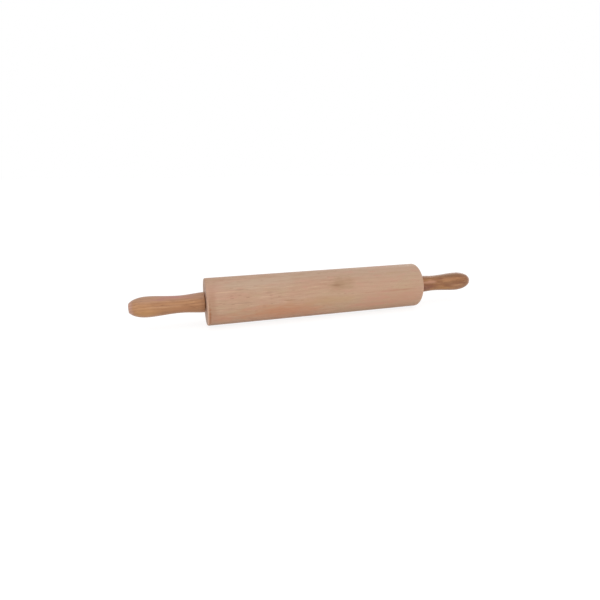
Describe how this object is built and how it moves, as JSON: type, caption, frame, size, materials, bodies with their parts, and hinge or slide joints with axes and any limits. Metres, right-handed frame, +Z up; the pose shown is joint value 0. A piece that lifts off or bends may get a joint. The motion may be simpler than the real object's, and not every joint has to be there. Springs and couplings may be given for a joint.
{
  "type": "rolling pin",
  "caption": "Wooden rolling pin: a straight cylindrical barrel that turns on a steel axle between two turned handles, for rolling out dough.",
  "frame": {"origin": "under the middle of the barrel, on the worktop that the barrel stands on", "axes": "+X along the axle towards one handle, +Z up, so the axle is one barrel radius above the origin"},
  "size_m": [0.4852, 0.0614, 0.0614],
  "materials": {
    "barrel_wood": "sanded pale beech, bare",
    "handle_wood": "darker turned wood under a satin varnish",
    "axle_steel": "ground",
    "washer_fibre": "punched brown fibre",
    "bush_nylon": "moulded"
  },
  "bodies": {
    "handles_and_axle": {"axle": "axle_steel", "right_handle": "handle_wood", "left_handle": "handle_wood", "right_thrust_washer": "washer_fibre", "left_thrust_washer": "washer_fibre"},
    "roller": {"barrel": "barrel_wood", "right_bush": "bush_nylon", "left_bush": "bush_nylon"}
  },
  "joints": [
    {"name": "barrel_spin", "type": "hinge", "parent": "handles_and_axle", "child": "roller", "pos_m": [0, 0, 0.0307], "axis": [1, 0, 0], "continuous": true}
  ]
}
